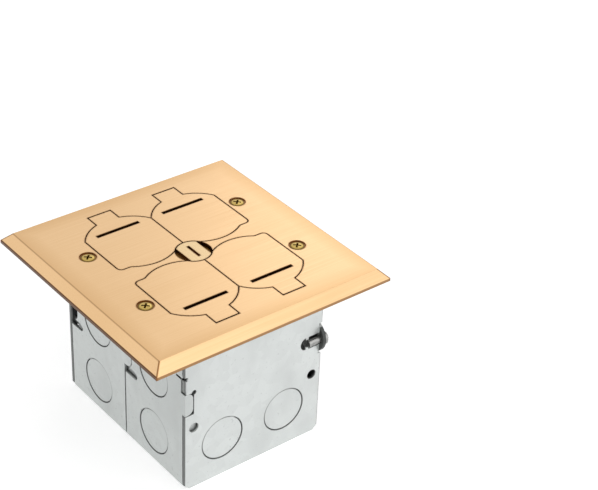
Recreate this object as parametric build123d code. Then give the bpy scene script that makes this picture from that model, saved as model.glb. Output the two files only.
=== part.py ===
"""Floor socket box: two ganged steel boxes with a duplex receptacle each, under a brass cover plate
with four flip lids and a quarter-turn centre dial. Millimetres, +Z up. The origin is under the
centre of the plate, at the underside of the box. X runs along the receptacles, Y across the gangs."""
import os
from math import radians, sqrt, tan

from build123d import *

os.makedirs("parts", exist_ok=True)

# Wiring device standard
gang_pitch = 46.04
outlet_pitch = 38.9
face_dia = 34.1
face_flats = 28.6
device_screw_r = 1.75

# Clearances
run_gap = 0.05
seat_gap = 0.02
fit_gap = 0.3

# Cover plate
plate_side = 127.0
plate_thk = 5.8
plate_bevel = 4.3
rim_width = 6.0
hollow_skin = 2.8
opening_gap = 0.4
screw_hole_r = 2.15
head_r = 3.45
head_ring = 0.6
head_sink = 0.45
head_crown = 0.5
head_angle = 41.0
screw_length = 14.0
gasket_thk = 1.2
gasket_inset = 2.0
gasket_lap = 2.5

# Flip lids
lid_thk = 2.4
lid_inset = 2.75
lid_gap = 0.6
lid_middle_gap = 2.07
foot_rise = 3.83
foot_corner_r = 2.0
foot_blend_r = 3.0
tab_width = 11.8
tab_reach = 6.53
slot_len = 23.0
slot_width = 2.0
slot_setback = 9.27
seal_thk = 0.8
seal_gap = 0.45

# Lid hinges
pin_r = 0.75
hinge_drop = 1.5
barrel_r = 1.4
swing_gap = 0.1
pin_grip = 2.2
keeper_thk = 0.8
keeper_width = 5.0
keeper_foot = 6.4
keeper_screw_r = 1.0
keeper_screw_bite = 1.6
keeper_head_r = 1.8
keeper_head_h = 1.2

# Centre dial
dial_r = 8.1
dial_width = 11.0
dial_slot_len = 9.6
dial_slot_width = 1.4
dial_slot_depth = 1.3
hub_r = 4.2
stem_r = 2.5
stem_groove_r = 1.9
stem_tail = 0.5
bridge_len = 56.0
bridge_gap = 0.97
bridge_thk = 1.5
bridge_disc_r = 8.5
stop_r = 0.75
stop_radius = 6.3
stop_bite = 0.9
washer_r = 5.4
washer_room = 1.0
washer_thk = 0.5
spring_h = 1.0
spring_thk = 0.3
clip_thk = 0.6
bridge_screw_x = 22.0
bridge_screw_r = 1.42
bridge_head_r = 2.6
bridge_head_h = 1.7
bridge_screw_bite = 3.6

# Box
box_depth = 82.55
sheet = 1.6
bend_r = 1.0
ear_drop = 3.175
ear_width = 14.0
ear_reach = 9.4
ear_corner_r = 3.0
rim_notch = 22.0
knockout_r = 10.9
knockout_gap = 0.4
knockout_inset = 0.25
knockout_tie = 2.6
wall_knockout_z = (18.1, 51.0)
panel_knockout_x = 17.5
panel_knockout_z = 20.9
nail_hole_r = 2.5
nail_hole_inset = 4.8
nail_hole_z = 34.3
floor_hole_r = 2.2
floor_hole_inset = 11.1
panel_clip = 2.4
seam_gap = 0.5
dimple_r = 7.5
dimple_top_r = 5.5
dimple_h = 2.0
dimple_x = -23.0
dimple_y = 9.0

# Hooks and gang screws that hold the steel together
lobe_z = 48.2
lobe_height = 11.6
lobe_reach = 5.2
lobe_corner_r = 4.0
wrap_reach = 4.4
wrap_corner_r = 3.0
wrap_rise = 8.5
notch_gap = 0.5
slit_height = 3.6
slit_len = 10.0
ear_lift_z = 53.4
lug_ear_r = 8.6
lug_ear_reach = 5.2
gang_screw_out = 1.6
gang_screw_r = 2.05
gang_head_r = 3.6
gang_head_h = 2.4
trough_r = 3.4
trough_thk = 1.2
trough_len = 12.0
lug_thk = 1.6
lug_inset = 3.0
relief_r = 1.2

# Receptacle
screw_out = 3.57
strap_end = 11.53
strap_width = 20.0
strap_thk = 1.3
strap_ear_width = 33.0
strap_ear_len = 6.7
strap_slot_width = 4.0
strap_slot_len = 7.0
body_shoulder = 0.65
body_narrowing = 1.1
body_depth = 22.0
body_corner_r = 2.5
flange_thk = 2.6
face_rise = 6.6
face_edge = 0.8
strap_side_gap = 0.1
box_side_gap = 0.7
blade_offset = 6.35
blade_shift = 2.9
earth_shift = 9.0
hot_slot_len = 6.9
neutral_slot_len = 8.2
blade_slot_width = 2.0
tee_slot_len = 3.4
earth_slot_r = 2.55
side_recess = 3.0
recess_half = 14.0
recess_foot = 5.0
bus_thk = 0.8
bus_height = 12.0
leaf_thk = 0.6
leaf_len = 9.0
leaf_half_gap = 0.9
pocket_floor = 3.0
terminal_x = 7.5
terminal_rise = 11.5
terminal_plate_half = 11.0
terminal_plate_h = 10.0
terminal_r = 1.9
terminal_head_r = 3.6
terminal_head_h = 2.2
terminal_bite = 2.0
earth_strip_half = 1.6
earth_tab_inset = 8.4
earth_tab_half = 5.0
earth_tab_rise = 13.0
rivet_r = 1.5
rivet_head_r = 2.8
rivet_head_h = 0.8
assembly_inset_x = 4.4
assembly_inset_y = 3.3
assembly_r = 1.3
assembly_bite = 1.9
assembly_head_r = 2.3
assembly_head_h = 1.4

# Levels worked out from the sizes above
rim_z = box_depth
plate_bottom = rim_z + gasket_thk
plate_top = plate_bottom + plate_thk
lid_bottom = plate_top - lid_thk
ear_top = rim_z - ear_drop
body_bottom = ear_top - body_depth
gang_y = gang_pitch / 2
outlet_x = outlet_pitch / 2
lid_pitch = outlet_pitch - lid_inset
lid_x = lid_pitch / 2
lid_round_r = gang_y - lid_middle_gap
foot_y = lid_middle_gap + foot_rise
tab_end_y = gang_y + lid_round_r + tab_reach
slot_y = gang_y + lid_round_r - slot_setback
dial_bore_r = dial_r + lid_gap
hinge_z = plate_top - hinge_drop
hinge_y = tab_end_y - barrel_r
hinge_ceiling = hinge_z - pin_r
swing_r = sqrt(barrel_r**2 + hinge_drop**2)
slot_end_y = hinge_y + swing_r + swing_gap
body_len = outlet_pitch + face_flats + 2 * body_shoulder
body_width = face_dia - body_narrowing
strap_x = body_len / 2 + strap_side_gap
wall_x = strap_x + strap_thk + box_side_gap + sheet
screw_x = wall_x + screw_out
strap_half = screw_x + strap_end
bridge_width = gang_pitch - face_dia - 2 * bridge_gap
spring_r = washer_r - spring_thk
clip_r = washer_r - washer_thk
nail_hole_x = wall_x - nail_hole_inset
floor_hole_x = wall_x - floor_hole_inset
earth_tab_x = earth_tab_inset - body_len / 2
assembly_x = body_len / 2 - assembly_inset_x
assembly_y = body_width / 2 - assembly_inset_y
stack_half = gang_pitch + sheet
cone_slope = tan(radians(head_angle))

CORNERS = {"rear_left": (-1, 1), "rear_right": (1, 1), "front_left": (-1, -1), "front_right": (1, -1)}
GANGS = {"front": -1, "rear": 1}


def block(x0, x1, y0, y1, z0, z1):
    return Pos((x0 + x1) / 2, (y0 + y1) / 2, (z0 + z1) / 2) * Box(abs(x1 - x0), abs(y1 - y0), abs(z1 - z0))


def rod_x(radius, x0, x1, y, z):
    return Pos((x0 + x1) / 2, y, z) * Rot(0, 90, 0) * Cylinder(radius, abs(x1 - x0))


def rod_y(radius, y0, y1, x, z):
    return Pos(x, (y0 + y1) / 2, z) * Rot(90, 0, 0) * Cylinder(radius, abs(y1 - y0))


def rod_z(radius, z0, z1, x=0, y=0):
    return Pos(x, y, (z0 + z1) / 2) * Cylinder(radius, abs(z1 - z0))


def prism(sketch, z0, z1):
    return extrude(Pos(0, 0, z0) * sketch, amount=z1 - z0)


def hex_head(radius, z0, z1, x=0, y=0):
    return prism(Pos(x, y) * RegularPolygon(radius, 6), z0, z1)


def side_profile(points, y0, y1):
    """Extrudes a closed outline in X and Z from y0 to y1."""
    outline = Plane.XZ * make_face(Polyline(*points, close=True))
    return Pos(0, (y0 + y1) / 2, 0) * extrude(outline, amount=abs(y1 - y0) / 2, both=True)


def to_corner(shape, side_x, side_y):
    """Mirrors a shape from the +X +Y quarter into another one."""
    if side_x < 0:
        shape = mirror(shape, about=Plane.YZ)
    if side_y < 0:
        shape = mirror(shape, about=Plane.XZ)
    return shape


def group(solids):
    return Compound([solid for item in solids for solid in item.solids()])


def in_all_corners(shape):
    return [to_corner(shape, *side) for side in CORNERS.values()]


# Lids and their hinges, drawn in the +X +Y quarter

def lid_outline(grow):
    """A round body cut flat on both sides, with a square foot beside the dial."""
    half = (lid_pitch - lid_gap) / 2 + grow
    radius = lid_round_r + grow
    foot_edge = foot_y - grow
    body = (Pos(lid_x, gang_y) * Circle(radius)) & (Pos(lid_x, gang_y) * Rectangle(2 * half, 2 * radius))
    body += Pos(lid_x, (gang_y + foot_edge) / 2) * Rectangle(2 * half, gang_y - foot_edge)
    corner = body.vertices().sort_by_distance((lid_x + half, foot_edge))[0]
    body = fillet(corner, foot_corner_r + grow)
    meeting_x = lid_x + sqrt(radius**2 - (gang_y - foot_edge) ** 2)
    meeting = body.vertices().sort_by_distance((meeting_x, foot_edge))[0]
    return fillet(meeting, foot_blend_r)


def tab_outline(grow, end_y):
    return Pos(lid_x, (gang_y + end_y) / 2) * Rectangle(tab_width + 2 * grow, end_y - gang_y)


def flip_lid():
    plan = lid_outline(0) + tab_outline(0, tab_end_y) - Circle(dial_bore_r)
    plan -= Pos(lid_x, slot_y) * Rectangle(slot_len, slot_width)
    lid = prism(plan, lid_bottom, plate_top)
    half = tab_width / 2
    lid += rod_x(barrel_r, lid_x - half, lid_x + half, hinge_y, hinge_z)
    return lid - rod_x(pin_r + run_gap, lid_x - half - 1, lid_x + half + 1, hinge_y, hinge_z)


def outlet_outline(radius, half_width):
    return (Pos(outlet_x, gang_y) * Circle(radius)) & (
        Pos(outlet_x, gang_y) * Rectangle(2 * half_width, 2 * radius))


def lid_seal():
    plan = outlet_outline(face_dia / 2 + opening_gap - seal_gap, face_flats / 2 + opening_gap - seal_gap)
    return prism(plan, lid_bottom - seal_thk, lid_bottom)


pin_half = tab_width / 2 + lid_gap + pin_grip
keeper_inner = tab_width / 2 + lid_gap
keeper_half = keeper_inner + keeper_thk + keeper_foot
keeper_drop_z = hinge_z - swing_r - swing_gap
keeper_screw_x = pin_half + (keeper_half - pin_half) / 2


def hinge_pin():
    return rod_x(pin_r, lid_x - pin_half, lid_x + pin_half, hinge_y, hinge_z)


def hinge_keeper():
    """A top-hat strip: its feet hold the pin ends up, its middle clears the swinging tab."""
    outer = keeper_inner + keeper_thk
    low = keeper_drop_z - keeper_thk
    foot_low = hinge_ceiling - keeper_thk
    right = [(keeper_inner, keeper_drop_z), (keeper_inner, hinge_ceiling), (keeper_half, hinge_ceiling),
             (keeper_half, foot_low), (outer, foot_low), (outer, low)]
    left = [(-x, z) for x, z in reversed(right)]
    strip = side_profile([(lid_x + x, z) for x, z in right + left],
                         hinge_y - keeper_width / 2, hinge_y + keeper_width / 2)
    for side in (-1, 1):
        strip -= rod_z(keeper_screw_r + run_gap, low, plate_top, lid_x + side * keeper_screw_x, hinge_y)
    return strip


def keeper_screws():
    under = hinge_ceiling - keeper_thk
    screws = []
    for side in (-1, 1):
        x = lid_x + side * keeper_screw_x
        shank = rod_z(keeper_screw_r, under - keeper_head_h / 2, hinge_ceiling + keeper_screw_bite, x, hinge_y)
        screws.append(shank + hex_head(keeper_head_r, under - keeper_head_h, under, x, hinge_y))
    return screws


# Cover plate

def cover_plate():
    plate = prism(Rectangle(plate_side, plate_side), plate_bottom, plate_top)
    plate = chamfer(plate.faces().sort_by(Axis.Z)[-1].edges(), plate_bevel)
    pocket = lid_outline(lid_gap) + tab_outline(lid_gap, slot_end_y)
    pocket = prism(pocket, lid_bottom, plate_top + 1)
    opening = outlet_outline(face_dia / 2 + opening_gap, face_flats / 2 + opening_gap)
    opening = prism(opening, plate_bottom - 1, lid_bottom + 1)
    hinge_room = block(lid_x - keeper_half - fit_gap, lid_x + keeper_half + fit_gap,
                       hinge_y - keeper_width / 2 - fit_gap, hinge_y + keeper_width / 2 + fit_gap,
                       plate_bottom - 1, hinge_ceiling)
    tab_room = prism(Pos(lid_x, (hinge_y - barrel_r - swing_gap * 2 + slot_end_y) / 2) * Rectangle(
        tab_width + 2 * lid_gap, slot_end_y - hinge_y + barrel_r + swing_gap * 2), plate_bottom, plate_top + 1)
    groove_r = pin_r + seat_gap
    groove = rod_x(groove_r, lid_x - pin_half - seat_gap, lid_x + pin_half + seat_gap, hinge_y, hinge_z)
    groove += block(lid_x - pin_half - seat_gap, lid_x + pin_half + seat_gap, hinge_y - groove_r,
                    hinge_y + groove_r, hinge_ceiling - 1, hinge_z)
    screw_bore = rod_z(screw_hole_r, plate_bottom - 1, plate_top + 1, screw_x, gang_y)
    seat = plate_top - head_sink
    cone_depth = (head_r - screw_hole_r) / cone_slope
    screw_bore += Pos(screw_x, gang_y, seat - cone_depth / 2) * Cone(screw_hole_r, head_r, cone_depth)
    screw_bore += rod_z(head_r + head_ring, seat, plate_top + 1, screw_x, gang_y)
    keeper_bites = [rod_z(keeper_screw_r + seat_gap, hinge_ceiling - 1, hinge_ceiling + keeper_screw_bite
                          + seat_gap, lid_x + side * keeper_screw_x, hinge_y) for side in (-1, 1)]
    for tool in [pocket, opening, hinge_room, tab_room, groove, screw_bore, *keeper_bites]:
        for cutter in in_all_corners(tool):
            plate -= cutter
    plate -= rod_z(dial_bore_r, plate_bottom - 1, plate_top + 1)
    hollow_inner = lid_pitch + lid_gap / 2 + rim_width / 2
    hollow_outer = plate_side / 2 - rim_width
    hollow = block(hollow_inner, hollow_outer, -hollow_outer, hollow_outer,
                   plate_bottom - 1, plate_top - hollow_skin)
    for side in (-1, 1):
        hollow -= rod_z(head_r + head_ring + rim_width / 3, plate_bottom - 1, plate_top, screw_x, side * gang_y)
    plate -= hollow
    plate -= mirror(hollow, about=Plane.YZ)
    for side in (-1, 1):
        plate -= rod_z(bridge_screw_r + seat_gap, plate_bottom - 1, plate_bottom + bridge_screw_bite
                       + seat_gap, side * bridge_screw_x, 0)
    return plate


def plate_gasket():
    plan = Rectangle(plate_side - 2 * gasket_inset, plate_side - 2 * gasket_inset)
    plan -= Rectangle(2 * wall_x - 2 * gasket_lap, 2 * stack_half - 2 * gasket_lap)
    gasket = prism(plan, rim_z, plate_bottom)
    for cutter in in_all_corners(rod_z(screw_hole_r, rim_z - 1, plate_bottom + 1, screw_x, gang_y)):
        gasket -= cutter
    return gasket


def cross_recess(x, y, z_top, depth, arm, width):
    cross = block(-arm, arm, -width / 2, width / 2, -depth, 1)
    cross += block(-width / 2, width / 2, -arm, arm, -depth, 1)
    return Pos(x, y, z_top) * Rot(0, 0, 45) * cross


def cover_screw():
    seat = plate_top - head_sink
    head_depth = (head_r - device_screw_r) / cone_slope
    crown_r = (head_r**2 + head_crown**2) / (2 * head_crown)
    crown = Pos(0, 0, head_crown - crown_r) * Sphere(crown_r)
    crown &= rod_z(head_r, 0, head_crown)
    screw = Pos(0, 0, -head_depth / 2) * Cone(device_screw_r, head_r, head_depth)
    screw += crown + rod_z(device_screw_r, -screw_length, -head_depth / 2)
    screw -= cross_recess(0, 0, head_crown, 1.7, 1.9, 0.9)
    return Pos(screw_x, gang_y, seat) * screw


# Centre dial

def centre_dial():
    bar = prism(Circle(dial_r) & Rectangle(dial_width, 2 * dial_r), lid_bottom, plate_top)
    bar -= block(-dial_slot_width / 2, dial_slot_width / 2, -dial_slot_len / 2, dial_slot_len / 2,
                 plate_top - dial_slot_depth, plate_top + 1)
    bar += rod_z(hub_r, plate_bottom + swing_gap, lid_bottom + seat_gap)
    bar += rod_z(stem_r, stem_end_z, lid_bottom)
    bar -= rod_z(stem_r + 1, clip_z, clip_z + clip_thk) - rod_z(stem_groove_r, clip_z, clip_z + clip_thk)
    return bar - rod_z(stop_r, lid_bottom - 1, lid_bottom + stop_bite, 0, -stop_radius)


bridge_bottom = plate_bottom - bridge_thk
clip_z = bridge_bottom - washer_thk - spring_h - clip_thk
stem_end_z = clip_z - stem_tail


def dial_bridge():
    """The bar under the plate that carries the dial, with a quarter-turn slot for its stop pin."""
    slot = SlotArc(CenterArc((0, 0), stop_radius, -90, 90), height=2 * (stop_r + swing_gap))
    plan = Rectangle(bridge_len, bridge_width) + Circle(bridge_disc_r)
    plan -= Circle(stem_r + run_gap) + slot
    for side in (-1, 1):
        plan -= Pos(side * bridge_screw_x, 0) * Circle(bridge_screw_r + run_gap)
    return prism(plan, bridge_bottom, plate_bottom)


def bridge_screws():
    screws = []
    for side in (-1, 1):
        x = side * bridge_screw_x
        shank = rod_z(bridge_screw_r, bridge_bottom - bridge_head_h / 2, plate_bottom + bridge_screw_bite, x)
        screws.append(shank + hex_head(bridge_head_r, bridge_bottom - bridge_head_h, bridge_bottom, x))
    return group(screws)


def dial_stop_pin():
    return rod_z(stop_r, bridge_bottom + swing_gap, lid_bottom + stop_bite, 0, -stop_radius)


def thrust_washer():
    return rod_z(washer_r, bridge_bottom - washer_thk, bridge_bottom) - rod_z(
        stem_r + run_gap, bridge_bottom - washer_thk - 1, bridge_bottom + 1)


def spring_washer():
    """A dished washer between thrust washer and clip."""
    top = bridge_bottom - washer_thk
    inner = stem_r + 2 * run_gap
    profile = [(inner, clip_z + clip_thk), (inner, clip_z + clip_thk + spring_thk),
               (spring_r, top), (spring_r, top - spring_thk)]
    return revolve(Plane.XZ * make_face(Polyline(*profile, close=True)), Axis.Z)


def retaining_clip():
    clip = rod_z(clip_r, clip_z, clip_z + clip_thk)
    clip -= rod_z(stem_groove_r, clip_z - 1, clip_z + clip_thk + 1)
    return clip - block(-stem_groove_r * 0.8, stem_groove_r * 0.8, 0, clip_r + 1, clip_z - 1, clip_z + 1)


# Steel box

def add_knockout(blank, face_location, tie_angle):
    """A knockout whose disc is set in below the outer face and hangs on one tie."""
    hole = Cylinder(knockout_r + knockout_gap, 4 * sheet)
    disc = Pos(0, 0, -knockout_inset - sheet / 2) * Cylinder(knockout_r, sheet)
    tie = Rot(0, 0, tie_angle) * Pos(knockout_r, 0, -(knockout_inset + sheet) / 2) * Box(
        4 * knockout_gap, knockout_tie, sheet - knockout_inset)
    return blank - face_location * hole + face_location * (disc + tie)


def outward(x, y, z, normal, right):
    """The place of a feature on a sheet's outer face: normal points out, right is its first axis."""
    return Plane(origin=(x, y, z), x_dir=right, z_dir=normal).location


def lobe(y_edge, reach, x0, x1, grow=0.0):
    """The hook tab at the front edge of a left wall, rounded at its lower corner."""
    tab = block(x0, x1, y_edge - reach - grow, y_edge + 1, lobe_z - lobe_height / 2 - grow,
                lobe_z + lobe_height / 2 + grow)
    tip = tab.edges().filter_by(Axis.X).group_by(Axis.Y)[0]
    return fillet(tip, lobe_corner_r)


def screw_ear(y_edge, x0, x1, grow=0.0):
    """A round ear at the edge of a right wall that the gang screw clamps."""
    centre_y = y_edge + lug_ear_r - lug_ear_reach
    ear = rod_x(lug_ear_r + grow, x0, x1, centre_y, ear_lift_z)
    return ear & block(x0, x1, y_edge - lug_ear_reach - 1 - grow, y_edge + grow, 0, box_depth)


def u_outline(depth):
    """The outline of the bent sheet at a depth below its outer face."""
    outline = Pos(0, (box_depth + depth) / 2) * Rectangle(2 * (wall_x - depth), box_depth - depth)
    return fillet(outline.vertices().group_by(Axis.Y)[0], bend_r + sheet - depth)


def u_channel():
    """The bent sheet. Its outer half ends a little earlier, which leaves a seam at each end."""
    outer, middle, inner = [u_outline(depth) for depth in (0, sheet / 2, sheet)]
    shell = extrude(Plane.XZ * (outer - middle), amount=gang_pitch / 2 - seam_gap, both=True)
    return shell + extrude(Plane.XZ * (middle - inner), amount=gang_pitch / 2, both=True)


def gang_body(side):
    """One gang, drawn about y = 0 and moved to its place; the front one has its lobe bent round
    the side panel."""
    front, back = -gang_pitch / 2, gang_pitch / 2
    body = u_channel()
    for wall in (-1, 1):
        body -= block(wall * (wall_x - sheet - 1), wall * (wall_x + 1), -rim_notch / 2, rim_notch / 2,
                      ear_top, rim_z + 1)
        ear = block(wall * (wall_x - sheet), wall * (wall_x + ear_reach), -ear_width / 2, ear_width / 2,
                    ear_top - sheet, ear_top)
        ear = fillet(ear.edges().filter_by(Axis.Z).group_by(Axis.X)[-1 if wall > 0 else 0], ear_corner_r)
        body += ear
        body -= rod_z(device_screw_r + seat_gap, ear_top - sheet - 1, ear_top + 1, wall * screw_x, 0)
        for z in wall_knockout_z:
            place = outward(wall * wall_x, 0, z, (wall, 0, 0), (0, wall, 0))
            body = add_knockout(body, place, 128 if wall < 0 else 52)
        body -= rod_z(floor_hole_r, -1, sheet + 1, wall * floor_hole_x, -dimple_y)
    body = add_knockout(body, outward(0, 0, 0, (0, 0, -1), (1, 0, 0)), 90)
    dimple = Pos(dimple_x, dimple_y, 0)
    body += dimple * Pos(0, 0, (dimple_h + sheet) / 2) * Cone(dimple_r, dimple_top_r, dimple_h + sheet)
    body -= dimple * Pos(0, 0, dimple_h / 2) * Cone(dimple_r - sheet, dimple_top_r - sheet, dimple_h)
    body -= dimple * rod_z(terminal_r + seat_gap, -1, dimple_h + sheet + 1)

    # Left wall: lobe in front, notch and slit behind for the next lobe
    inner, outer = -wall_x + sheet, -wall_x
    if side < 0:
        wrap = block(outer, outer + wrap_reach, front - sheet, front - seat_gap,
                     lobe_z - lobe_height / 2, lobe_z + lobe_height / 2)
        wrap = fillet(wrap.edges().filter_by(Axis.Y).group_by(Axis.X)[-1], wrap_corner_r)
        body += wrap + block(outer, inner, front - sheet, front + 1,
                             lobe_z - lobe_height / 2, lobe_z + lobe_height / 2)
    else:
        body += lobe(front, lobe_reach, outer, inner)
    body -= lobe(back, lobe_reach, outer - 1, inner + 1, notch_gap)
    slit_z = lobe_z - lobe_height / 2 - notch_gap - slit_height / 2
    body -= block(outer - 1, inner + 1, back - slit_len + slit_height / 2, back + 1,
                  slit_z - slit_height / 2, slit_z + slit_height / 2 + notch_gap)
    body -= rod_x(slit_height / 2, outer - 1, inner + 1, back - slit_len + slit_height / 2, slit_z)
    # A notch above the lobe with a slit at its top, beside the side panel's relief
    notch_top = lobe_z + lobe_height / 2 + wrap_rise
    body -= block(outer - 1, inner + 1, front - 1, front + sheet, lobe_z + lobe_height / 2, notch_top)
    body -= block(outer - 1, inner + 1, front - 1, front + lobe_reach, notch_top - relief_r, notch_top)

    # Right wall: round ear in front, notch and threaded tongue behind
    inner, outer = wall_x - sheet, wall_x
    ear = screw_ear(front, inner, outer) + block(inner, outer, front - 0.01, front + 1,
                                                 ear_lift_z - 6, ear_lift_z + 6)
    body += ear
    body -= rod_x(gang_screw_r + run_gap, inner - 1, outer + 1, front - gang_screw_out, ear_lift_z)
    body -= screw_ear(back, inner - 1, outer + 1, notch_gap)
    arm = back - lug_ear_reach - notch_gap - sheet
    reach = wall_x - trough_len + lug_inset
    low, high = ear_lift_z - trough_r + notch_gap, ear_lift_z + trough_r - notch_gap
    body += block(reach, inner + sheet / 2, arm, arm + sheet, low, high)
    body += block(reach - lug_thk, reach, arm, back - run_gap, low, high)
    body -= rod_x(gang_screw_r + seat_gap, reach - lug_thk - 1, reach + 1, back - gang_screw_out, ear_lift_z)
    return Pos(0, side * gang_pitch / 2, 0) * body


def panel_blank(side):
    y0, y1 = side * gang_pitch, side * stack_half
    panel = block(-wall_x, wall_x, y0, y1, 0, rim_z)
    panel = chamfer(panel.edges().filter_by(Axis.Y).group_by(Axis.Z)[0], panel_clip)
    for wall in (-1, 1):
        place = outward(wall * panel_knockout_x, y1, panel_knockout_z, (0, side, 0), (-side, 0, 0))
        panel = add_knockout(panel, place, 60 if wall * side > 0 else 137)
        panel -= rod_y(nail_hole_r, y0 - side, y1 + side, wall * nail_hole_x, nail_hole_z)
    return panel


def side_panel_front():
    """Held on the left by a tongue behind the bent lobe, on the right by a screw in a pressed trough."""
    y_out, y_in = -stack_half, -gang_pitch
    panel = panel_blank(-1)
    lobe_low, lobe_high = lobe_z - lobe_height / 2, lobe_z + lobe_height / 2
    wrap_edge = -wall_x + wrap_reach + notch_gap
    panel -= block(-wall_x - 1, wrap_edge, y_out - 1, y_in + 1, lobe_low - notch_gap, lobe_high + seat_gap)
    panel -= block(-wall_x - 1, -wall_x + sheet / 2, y_out - 1, y_in + 1, lobe_high, lobe_high + wrap_rise)
    panel -= rod_y(relief_r, y_out - 1, y_in + 1, -wall_x + relief_r / 2, lobe_high + wrap_rise)
    panel -= rod_y(relief_r, y_out - 1, y_in + 1, wrap_edge, lobe_high)
    panel += block(-wall_x + sheet + fit_gap, wrap_edge + 2 * sheet, y_in, y_in + sheet,
                   lobe_low + fit_gap, lobe_high - fit_gap)
    notch = block(wall_x - sheet - seat_gap, wall_x + 1, y_out - 1, y_in + 1,
                  ear_lift_z - lug_ear_r, ear_lift_z + lug_ear_r)
    left = wall_x - trough_len
    axis_y = -gang_pitch - gang_screw_out
    right = wall_x - sheet - 2 * seat_gap
    hollow = rod_x(trough_r, left + trough_r, wall_x + 1, axis_y, ear_lift_z)
    hollow += Pos(left + trough_r, axis_y, ear_lift_z) * Sphere(trough_r)
    shell = rod_x(trough_r + trough_thk, left + trough_r, right, axis_y, ear_lift_z)
    shell += Pos(left + trough_r, axis_y, ear_lift_z) * Sphere(trough_r + trough_thk)
    shell &= block(left - trough_r, right, y_out, y_in + 2 * trough_r, 0, rim_z)
    lug_x = left + lug_inset
    lug = block(lug_x, lug_x + lug_thk, y_out, y_in + trough_r, ear_lift_z - trough_r, ear_lift_z + trough_r)
    lug &= rod_x(trough_r + trough_thk / 2, lug_x, lug_x + lug_thk, axis_y, ear_lift_z)
    panel = panel + shell - hollow + lug - notch
    return panel - rod_x(gang_screw_r + seat_gap, lug_x - 1, lug_x + lug_thk + 1, axis_y, ear_lift_z)


def side_panel_rear():
    """Carries its own round ear and an inner hook, bent forward from its edges, and a shallow
    groove where the screw lies against it."""
    panel = panel_blank(1)
    inner, outer = wall_x - sheet, wall_x
    ear = screw_ear(gang_pitch, inner, outer) + block(inner, outer, gang_pitch - 0.01, stack_half,
                                                      ear_lift_z - 6, ear_lift_z + 6)
    panel += ear
    panel -= rod_x(gang_screw_r + run_gap, wall_x - trough_len - 1, outer + 1, gang_pitch - gang_screw_out,
                   ear_lift_z)
    hook_x = -wall_x + sheet + fit_gap / 2
    slit_z = lobe_z - lobe_height / 2 - notch_gap - slit_height / 2
    hook_half = slit_height / 2 - fit_gap
    tip_y = gang_pitch - slit_len + slit_height / 2
    panel += block(hook_x, hook_x + sheet, tip_y, gang_pitch + sheet / 2, slit_z - hook_half, slit_z + hook_half)
    return panel + block(-wall_x + sheet / 2, hook_x + sheet / 2, tip_y, tip_y + 2 * sheet,
                         slit_z - hook_half, slit_z + hook_half)


def bevelled_head(radius, height):
    """A round head with its flat side at z = 0 and a bevel round its top."""
    head = rod_z(radius, 0, height)
    return chamfer(head.faces().sort_by(Axis.Z)[-1].edges(), height / 2)


def gang_screws():
    """Slotted round-head screws along X: at the front panel, between the gangs, at the rear panel."""
    screws = []
    tip_x = wall_x - trough_len + lug_inset - lug_thk
    for joint_y in (-gang_pitch, 0, gang_pitch):
        y = joint_y - gang_screw_out
        start = tip_x + (2 * lug_thk if joint_y < 0 else 0) - lug_thk / 2
        screw = rod_x(gang_screw_r, start, wall_x + gang_head_h / 4, y, ear_lift_z)
        screw += Pos(wall_x, y, ear_lift_z) * Rot(0, 90, 0) * bevelled_head(gang_head_r, gang_head_h)
        screws.append(screw - block(wall_x + gang_head_h / 2, wall_x + gang_head_h + 1, y - gang_head_r - 1,
                                    y + gang_head_r + 1, ear_lift_z - 0.5, ear_lift_z + 0.5))
    return group(screws)


def box_earth_screws():
    screws = []
    for side in GANGS.values():
        top = dimple_h + sheet
        screw = rod_z(terminal_r, swing_gap, top + 1) + hex_head(terminal_head_r, top, top + terminal_head_h)
        screws.append(Pos(dimple_x, side * gang_pitch / 2 + dimple_y, 0) * screw)
    return group(screws)


# Receptacles, drawn about y = 0 and moved to their gang

recess_y = body_width / 2 - side_recess
pocket_z = body_bottom + pocket_floor
terminal_z = body_bottom + terminal_rise
bus_y = blade_offset + leaf_half_gap + leaf_thk + bus_thk / 2
blade_x = [side * outlet_x + blade_shift for side in (-1, 1)]
earth_x = [side * outlet_x - earth_shift for side in (-1, 1)]
terminal_y = recess_y + 2 * run_gap


def receptacle_strap():
    top, low = ear_top + strap_thk, body_bottom - strap_thk
    end, outer = strap_half, strap_x + strap_thk
    right = [(strap_x, body_bottom), (strap_x, top), (end, top), (end, ear_top), (outer, ear_top), (outer, low)]
    left = [(-x, z) for x, z in reversed(right)]
    strap = side_profile(right + left, -strap_width / 2, strap_width / 2)
    for side in (-1, 1):
        ear = block(side * (end - strap_ear_len), side * end, -strap_ear_width / 2, strap_ear_width / 2,
                    ear_top, top)
        strap += fillet(ear.edges().filter_by(Axis.Z), strap_ear_len / 3)
        strap -= prism(Pos(side * screw_x, 0) * SlotOverall(strap_slot_len, strap_slot_width),
                       ear_top - 1, top + 1)
    x0, x1 = earth_tab_x - earth_tab_half, earth_tab_x + earth_tab_half
    strap += block(x0, x1, 0, earth_tab_y, low, body_bottom)
    strap += block(x0, x1, earth_tab_y - strap_thk, earth_tab_y, low, low + earth_tab_rise)
    strap -= rod_y(terminal_r + seat_gap, earth_tab_y - strap_thk - 1, earth_tab_y + 1, earth_tab_x, earth_screw_z)
    return strap - rod_z(rivet_r + seat_gap, low - 1, body_bottom + 1)


earth_screw_z = body_bottom - strap_thk + earth_tab_rise * 0.62
earth_tab_y = body_width / 2 + fit_gap + strap_thk


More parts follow.
